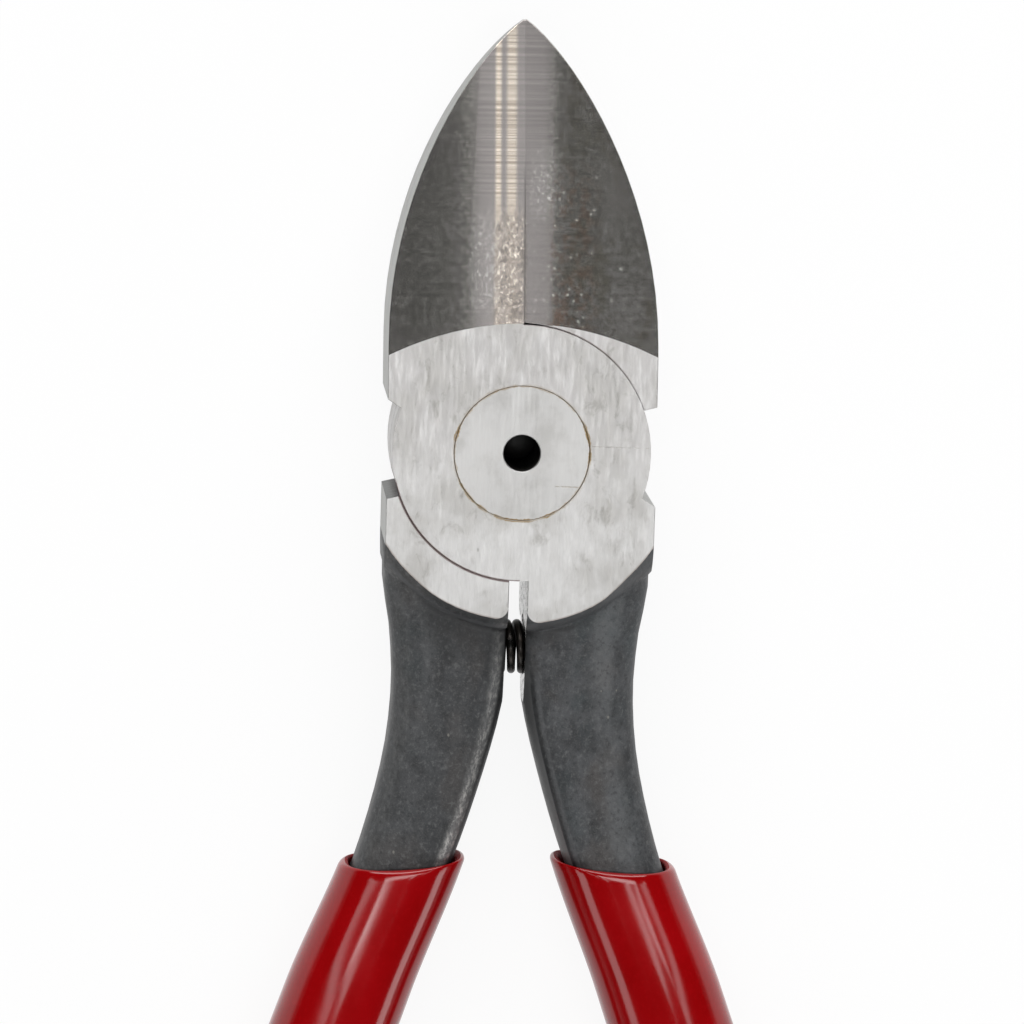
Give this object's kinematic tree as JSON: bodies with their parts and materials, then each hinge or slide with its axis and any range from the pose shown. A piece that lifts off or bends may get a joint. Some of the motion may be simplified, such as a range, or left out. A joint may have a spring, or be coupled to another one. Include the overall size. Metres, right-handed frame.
{
  "type": "gate cutter",
  "caption": "Flush-cutting nippers for moulding gates: two forged steel halves in a riveted lap joint, opened by a coil spring, with red vinyl sleeves on curved handles.",
  "frame": {"origin": "on the pivot axis, at the back face of the joint, which the tool rests on", "axes": "+Y along the cutting line towards the tips, +Z along the pivot axis out of the flush side, +X to the right seen from the flush side"},
  "size_m": [0.0627, 0.1796, 0.013],
  "materials": {
    "ground_steel": "ground jaws and joint faces, black oxide on the forged arms",
    "rivet_steel": "ground flush with the joint faces",
    "spring_steel": "oil-blackened wire",
    "red_vinyl": "smooth glossy vinyl sleeve"
  },
  "bodies": {
    "back": {"back_half": "ground_steel", "pivot_rivet": "rivet_steel", "return_spring": "spring_steel", "left_grip": "red_vinyl"},
    "front": {"front_half": "ground_steel", "right_grip": "red_vinyl"}
  },
  "joints": [
    {"name": "jaw_pivot", "type": "hinge", "parent": "back", "child": "front", "pos_m": [0, 0, 0.0065], "axis": [0, 0, 1], "range_deg": [0, 38], "stiffness_Nm_per_rad": 0.38, "springref_deg": 37.99, "deforming": ["return_spring"]}
  ]
}
